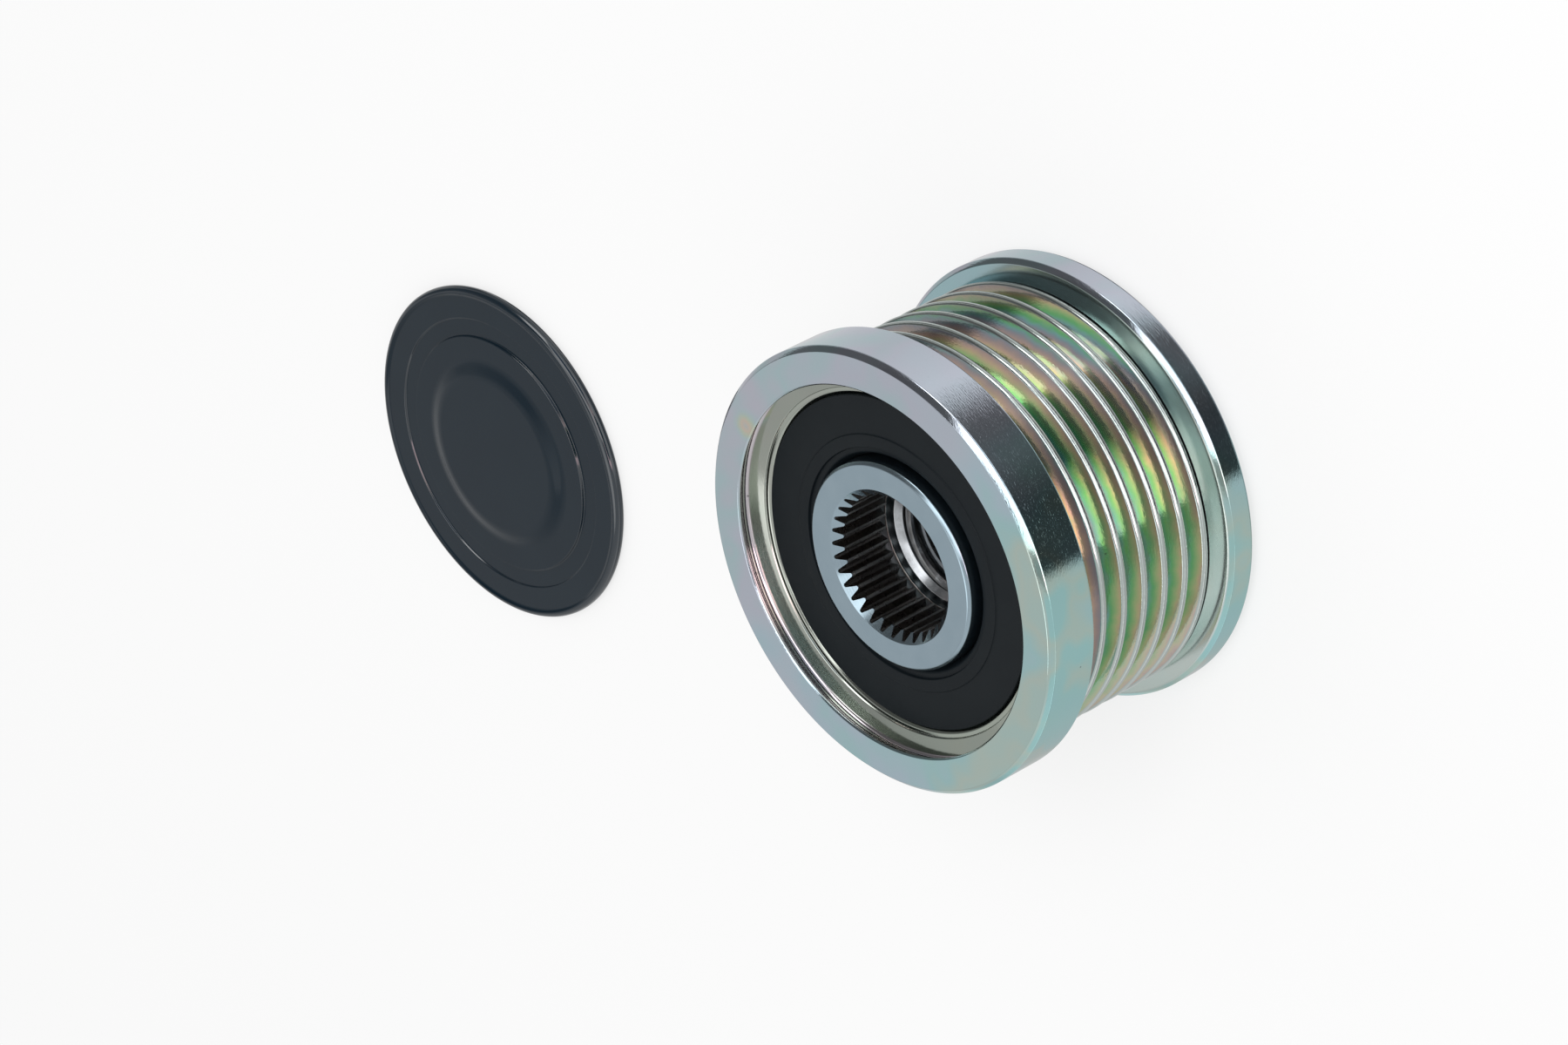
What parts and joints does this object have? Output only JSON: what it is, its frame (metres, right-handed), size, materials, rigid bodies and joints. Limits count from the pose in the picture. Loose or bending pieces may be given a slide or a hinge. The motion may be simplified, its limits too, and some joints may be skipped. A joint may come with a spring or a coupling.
{
  "type": "overrunning alternator pulley",
  "caption": "Flanged ribbed-belt pulley with a one-way roller clutch, a splined and threaded hub, lip seals and a snap-in dust cap laid beside it.",
  "frame": {"origin": "on the axis at the rear end of the hub, which the pulley stands on", "axes": "+Z along the axis of rotation towards the tool socket, with the loose end cap on the -X side"},
  "size_m": [0.1729, 0.058, 0.0364],
  "materials": {
    "plated_steel": "bright zinc plate with an iridescent blue passivation",
    "hub_steel": "ground, satin",
    "race_steel": "hardened and ground",
    "roller_steel": "polished",
    "spring_steel": "bright rolled strip",
    "washer_steel": "ground",
    "cage_plastic": "glass-filled nylon, natural",
    "seal_rubber": "moulded, satin black",
    "cap_plastic": "moulded, satin blue-black"
  },
  "bodies": {
    "hub_body": {"hub": "hub_steel", "inner_sleeve": "race_steel", "clutch_cage": "cage_plastic", "clutch_roller_1": "roller_steel", "clutch_roller_2": "roller_steel", "clutch_roller_3": "roller_steel", "clutch_roller_4": "roller_steel", "clutch_roller_5": "roller_steel", "clutch_roller_6": "roller_steel", "clutch_roller_7": "roller_steel", "clutch_roller_8": "roller_steel", "clutch_roller_9": "roller_steel", "clutch_spring_1": "spring_steel", "clutch_spring_2": "spring_steel", "clutch_spring_3": "spring_steel", "clutch_spring_4": "spring_steel", "clutch_spring_5": "spring_steel", "clutch_spring_6": "spring_steel", "clutch_spring_7": "spring_steel", "clutch_spring_8": "spring_steel", "clutch_spring_9": "spring_steel", "end_cap": "cap_plastic"},
    "ring_body": {"pulley_ring": "plated_steel", "outer_sleeve": "race_steel", "front_thrust_washer": "washer_steel", "rear_thrust_washer": "washer_steel", "front_seal": "seal_rubber", "rear_seal": "seal_rubber"},
    "front_row": {"front_needle_cage": "cage_plastic"},
    "rear_row": {"rear_needle_cage": "cage_plastic"},
    "front_needle_01_body": {"front_needle_01": "roller_steel"},
    "front_needle_02_body": {"front_needle_02": "roller_steel"},
    "front_needle_03_body": {"front_needle_03": "roller_steel"},
    "front_needle_04_body": {"front_needle_04": "roller_steel"},
    "front_needle_05_body": {"front_needle_05": "roller_steel"},
    "front_needle_06_body": {"front_needle_06": "roller_steel"},
    "front_needle_07_body": {"front_needle_07": "roller_steel"},
    "front_needle_08_body": {"front_needle_08": "roller_steel"},
    "front_needle_09_body": {"front_needle_09": "roller_steel"},
    "front_needle_10_body": {"front_needle_10": "roller_steel"},
    "front_needle_11_body": {"front_needle_11": "roller_steel"},
    "front_needle_12_body": {"front_needle_12": "roller_steel"},
    "front_needle_13_body": {"front_needle_13": "roller_steel"},
    "front_needle_14_body": {"front_needle_14": "roller_steel"},
    "rear_needle_01_body": {"rear_needle_01": "roller_steel"},
    "rear_needle_02_body": {"rear_needle_02": "roller_steel"},
    "rear_needle_03_body": {"rear_needle_03": "roller_steel"},
    "rear_needle_04_body": {"rear_needle_04": "roller_steel"},
    "rear_needle_05_body": {"rear_needle_05": "roller_steel"},
    "rear_needle_06_body": {"rear_needle_06": "roller_steel"},
    "rear_needle_07_body": {"rear_needle_07": "roller_steel"},
    "rear_needle_08_body": {"rear_needle_08": "roller_steel"},
    "rear_needle_09_body": {"rear_needle_09": "roller_steel"},
    "rear_needle_10_body": {"rear_needle_10": "roller_steel"},
    "rear_needle_11_body": {"rear_needle_11": "roller_steel"},
    "rear_needle_12_body": {"rear_needle_12": "roller_steel"},
    "rear_needle_13_body": {"rear_needle_13": "roller_steel"},
    "rear_needle_14_body": {"rear_needle_14": "roller_steel"}
  },
  "joints": [
    {"name": "ring_spin", "type": "hinge", "parent": "hub_body", "child": "ring_body", "pos_m": [0, 0, 0.0188], "axis": [0, 0, 1], "continuous": true},
    {"name": "front_row_spin", "type": "hinge", "parent": "hub_body", "child": "front_row", "pos_m": [0, 0, 0.0247], "axis": [0, 0, 1], "continuous": true},
    {"name": "rear_row_spin", "type": "hinge", "parent": "hub_body", "child": "rear_row", "pos_m": [0, 0, 0.0088], "axis": [0, 0, 1], "continuous": true},
    {"name": "front_needle_01_spin", "type": "hinge", "parent": "front_row", "child": "front_needle_01_body", "pos_m": [0.01628, 0, 0.0247], "axis": [0, 0, 1], "continuous": true},
    {"name": "front_needle_02_spin", "type": "hinge", "parent": "front_row", "child": "front_needle_02_body", "pos_m": [0.01467, 0.00706, 0.0247], "axis": [0, 0, 1], "continuous": true},
    {"name": "front_needle_03_spin", "type": "hinge", "parent": "front_row", "child": "front_needle_03_body", "pos_m": [0.01015, 0.01273, 0.0247], "axis": [0, 0, 1], "continuous": true},
    {"name": "front_needle_04_spin", "type": "hinge", "parent": "front_row", "child": "front_needle_04_body", "pos_m": [0.00362, 0.01587, 0.0247], "axis": [0, 0, 1], "continuous": true},
    {"name": "front_needle_05_spin", "type": "hinge", "parent": "front_row", "child": "front_needle_05_body", "pos_m": [-0.00362, 0.01587, 0.0247], "axis": [0, 0, 1], "continuous": true},
    {"name": "front_needle_06_spin", "type": "hinge", "parent": "front_row", "child": "front_needle_06_body", "pos_m": [-0.01015, 0.01273, 0.0247], "axis": [0, 0, 1], "continuous": true},
    {"name": "front_needle_07_spin", "type": "hinge", "parent": "front_row", "child": "front_needle_07_body", "pos_m": [-0.01467, 0.00706, 0.0247], "axis": [0, 0, 1], "continuous": true},
    {"name": "front_needle_08_spin", "type": "hinge", "parent": "front_row", "child": "front_needle_08_body", "pos_m": [-0.01628, 0, 0.0247], "axis": [0, 0, 1], "continuous": true},
    {"name": "front_needle_09_spin", "type": "hinge", "parent": "front_row", "child": "front_needle_09_body", "pos_m": [-0.01467, -0.00706, 0.0247], "axis": [0, 0, 1], "continuous": true},
    {"name": "front_needle_10_spin", "type": "hinge", "parent": "front_row", "child": "front_needle_10_body", "pos_m": [-0.01015, -0.01273, 0.0247], "axis": [0, 0, 1], "continuous": true},
    {"name": "front_needle_11_spin", "type": "hinge", "parent": "front_row", "child": "front_needle_11_body", "pos_m": [-0.00362, -0.01587, 0.0247], "axis": [0, 0, 1], "continuous": true},
    {"name": "front_needle_12_spin", "type": "hinge", "parent": "front_row", "child": "front_needle_12_body", "pos_m": [0.00362, -0.01587, 0.0247], "axis": [0, 0, 1], "continuous": true},
    {"name": "front_needle_13_spin", "type": "hinge", "parent": "front_row", "child": "front_needle_13_body", "pos_m": [0.01015, -0.01273, 0.0247], "axis": [0, 0, 1], "continuous": true},
    {"name": "front_needle_14_spin", "type": "hinge", "parent": "front_row", "child": "front_needle_14_body", "pos_m": [0.01467, -0.00706, 0.0247], "axis": [0, 0, 1], "continuous": true},
    {"name": "rear_needle_01_spin", "type": "hinge", "parent": "rear_row", "child": "rear_needle_01_body", "pos_m": [0.01628, 0, 0.0088], "axis": [0, 0, 1], "continuous": true},
    {"name": "rear_needle_02_spin", "type": "hinge", "parent": "rear_row", "child": "rear_needle_02_body", "pos_m": [0.01467, 0.00706, 0.0088], "axis": [0, 0, 1], "continuous": true},
    {"name": "rear_needle_03_spin", "type": "hinge", "parent": "rear_row", "child": "rear_needle_03_body", "pos_m": [0.01015, 0.01273, 0.0088], "axis": [0, 0, 1], "continuous": true},
    {"name": "rear_needle_04_spin", "type": "hinge", "parent": "rear_row", "child": "rear_needle_04_body", "pos_m": [0.00362, 0.01587, 0.0088], "axis": [0, 0, 1], "continuous": true},
    {"name": "rear_needle_05_spin", "type": "hinge", "parent": "rear_row", "child": "rear_needle_05_body", "pos_m": [-0.00362, 0.01587, 0.0088], "axis": [0, 0, 1], "continuous": true},
    {"name": "rear_needle_06_spin", "type": "hinge", "parent": "rear_row", "child": "rear_needle_06_body", "pos_m": [-0.01015, 0.01273, 0.0088], "axis": [0, 0, 1], "continuous": true},
    {"name": "rear_needle_07_spin", "type": "hinge", "parent": "rear_row", "child": "rear_needle_07_body", "pos_m": [-0.01467, 0.00706, 0.0088], "axis": [0, 0, 1], "continuous": true},
    {"name": "rear_needle_08_spin", "type": "hinge", "parent": "rear_row", "child": "rear_needle_08_body", "pos_m": [-0.01628, 0, 0.0088], "axis": [0, 0, 1], "continuous": true},
    {"name": "rear_needle_09_spin", "type": "hinge", "parent": "rear_row", "child": "rear_needle_09_body", "pos_m": [-0.01467, -0.00706, 0.0088], "axis": [0, 0, 1], "continuous": true},
    {"name": "rear_needle_10_spin", "type": "hinge", "parent": "rear_row", "child": "rear_needle_10_body", "pos_m": [-0.01015, -0.01273, 0.0088], "axis": [0, 0, 1], "continuous": true},
    {"name": "rear_needle_11_spin", "type": "hinge", "parent": "rear_row", "child": "rear_needle_11_body", "pos_m": [-0.00362, -0.01587, 0.0088], "axis": [0, 0, 1], "continuous": true},
    {"name": "rear_needle_12_spin", "type": "hinge", "parent": "rear_row", "child": "rear_needle_12_body", "pos_m": [0.00362, -0.01587, 0.0088], "axis": [0, 0, 1], "continuous": true},
    {"name": "rear_needle_13_spin", "type": "hinge", "parent": "rear_row", "child": "rear_needle_13_body", "pos_m": [0.01015, -0.01273, 0.0088], "axis": [0, 0, 1], "continuous": true},
    {"name": "rear_needle_14_spin", "type": "hinge", "parent": "rear_row", "child": "rear_needle_14_body", "pos_m": [0.01467, -0.00706, 0.0088], "axis": [0, 0, 1], "continuous": true}
  ],
  "couplings": [
    {"joint": "front_row_spin", "follows": "ring_spin", "ratio": 0.53931},
    {"joint": "rear_row_spin", "follows": "ring_spin", "ratio": 0.53931},
    {"joint": "front_needle_01_spin", "follows": "ring_spin", "ratio": 6.4717},
    {"joint": "front_needle_02_spin", "follows": "ring_spin", "ratio": 6.4717},
    {"joint": "front_needle_03_spin", "follows": "ring_spin", "ratio": 6.4717},
    {"joint": "front_needle_04_spin", "follows": "ring_spin", "ratio": 6.4717},
    {"joint": "front_needle_05_spin", "follows": "ring_spin", "ratio": 6.4717},
    {"joint": "front_needle_06_spin", "follows": "ring_spin", "ratio": 6.4717},
    {"joint": "front_needle_07_spin", "follows": "ring_spin", "ratio": 6.4717},
    {"joint": "front_needle_08_spin", "follows": "ring_spin", "ratio": 6.4717},
    {"joint": "front_needle_09_spin", "follows": "ring_spin", "ratio": 6.4717},
    {"joint": "front_needle_10_spin", "follows": "ring_spin", "ratio": 6.4717},
    {"joint": "front_needle_11_spin", "follows": "ring_spin", "ratio": 6.4717},
    {"joint": "front_needle_12_spin", "follows": "ring_spin", "ratio": 6.4717},
    {"joint": "front_needle_13_spin", "follows": "ring_spin", "ratio": 6.4717},
    {"joint": "front_needle_14_spin", "follows": "ring_spin", "ratio": 6.4717},
    {"joint": "rear_needle_01_spin", "follows": "ring_spin", "ratio": 6.4717},
    {"joint": "rear_needle_02_spin", "follows": "ring_spin", "ratio": 6.4717},
    {"joint": "rear_needle_03_spin", "follows": "ring_spin", "ratio": 6.4717},
    {"joint": "rear_needle_04_spin", "follows": "ring_spin", "ratio": 6.4717},
    {"joint": "rear_needle_05_spin", "follows": "ring_spin", "ratio": 6.4717},
    {"joint": "rear_needle_06_spin", "follows": "ring_spin", "ratio": 6.4717},
    {"joint": "rear_needle_07_spin", "follows": "ring_spin", "ratio": 6.4717},
    {"joint": "rear_needle_08_spin", "follows": "ring_spin", "ratio": 6.4717},
    {"joint": "rear_needle_09_spin", "follows": "ring_spin", "ratio": 6.4717},
    {"joint": "rear_needle_10_spin", "follows": "ring_spin", "ratio": 6.4717},
    {"joint": "rear_needle_11_spin", "follows": "ring_spin", "ratio": 6.4717},
    {"joint": "rear_needle_12_spin", "follows": "ring_spin", "ratio": 6.4717},
    {"joint": "rear_needle_13_spin", "follows": "ring_spin", "ratio": 6.4717},
    {"joint": "rear_needle_14_spin", "follows": "ring_spin", "ratio": 6.4717}
  ]
}
